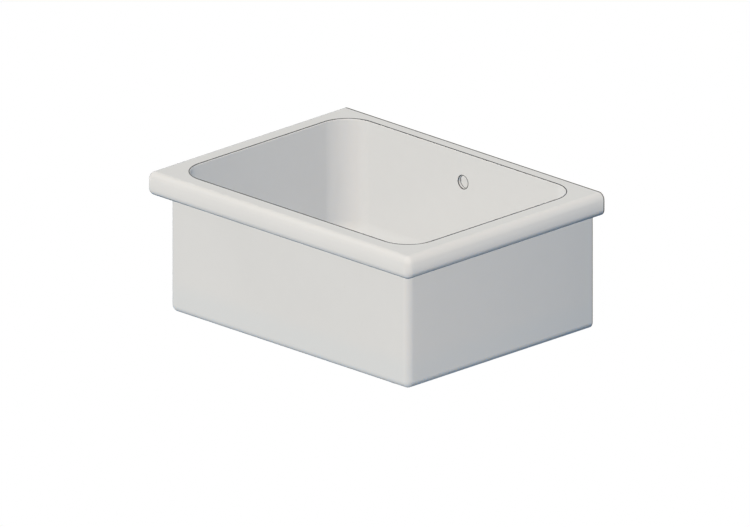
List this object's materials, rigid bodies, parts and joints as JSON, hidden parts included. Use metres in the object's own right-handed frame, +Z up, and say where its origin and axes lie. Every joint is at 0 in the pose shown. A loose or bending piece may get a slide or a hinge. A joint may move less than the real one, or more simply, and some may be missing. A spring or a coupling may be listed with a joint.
{
  "type": "ceramic utility sink",
  "caption": "Glazed ceramic utility sink with a deep rounded bowl, an overhanging rim, a flat back, a built-in overflow and a lift-out basket waste.",
  "frame": {"origin": "on the wall face, on the centre line, level with the underside of the rim", "axes": "+X to the right seen from the front, +Y into the wall, +Z up; the front of the sink looks along -Y"},
  "size_m": [0.6, 0.45, 0.355],
  "materials": {
    "ceramic_glaze": "glossy off-white glaze, unglazed on the foot and the wall face",
    "stainless_sheet": "brushed",
    "fastener_steel": "turned",
    "polished_knob": "polished",
    "black_rubber": "matte",
    "waste_plastic": "moulded, slightly frosted",
    "brass_insert": "machined"
  },
  "bodies": {
    "sink": {"basin": "ceramic_glaze", "strainer_cup": "stainless_sheet", "cup_seal": "black_rubber", "body_seal": "black_rubber", "waste_body": "waste_plastic", "hub_insert": "brass_insert", "screw_washer": "fastener_steel", "centre_screw": "fastener_steel", "outlet_washer": "black_rubber", "outlet_tube": "waste_plastic", "outlet_nut": "waste_plastic"},
    "basket": {"strainer_basket": "stainless_sheet", "basket_seal": "black_rubber", "seal_plate": "fastener_steel", "basket_pin": "fastener_steel", "pin_clip": "fastener_steel", "basket_knob": "polished_knob"}
  },
  "joints": [
    {"name": "basket_lift", "type": "slide", "parent": "sink", "child": "basket", "axis": [0, 0, 1], "range_m": [0, 0.045]}
  ]
}
